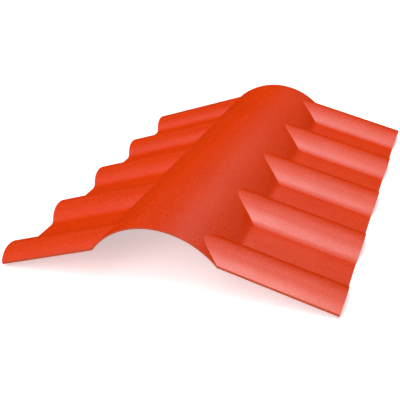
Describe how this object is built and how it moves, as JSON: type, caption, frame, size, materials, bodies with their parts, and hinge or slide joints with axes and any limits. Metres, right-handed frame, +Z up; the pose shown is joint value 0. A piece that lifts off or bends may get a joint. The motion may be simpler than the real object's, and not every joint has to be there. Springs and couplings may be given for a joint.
{
  "type": "roof ridge cap",
  "caption": "Moulded plastic ridge cap for a corrugated roof: smooth round crown along the ridge, with a corrugated wing sloping down on each side to overlap the roof sheets.",
  "frame": {"origin": "on the floor under the middle of the crown, at the bottom centre of the cap's box", "axes": "+Y along the ridge, +Z up, +X towards the right wing"},
  "size_m": [0.565, 0.71, 0.1096],
  "materials": {
    "orange_red_plastic": "satin moulded plastic, finely stippled, orange-red right through"
  },
  "bodies": {
    "root": {"ridge_cap": "orange_red_plastic"}
  },
  "joints": []
}
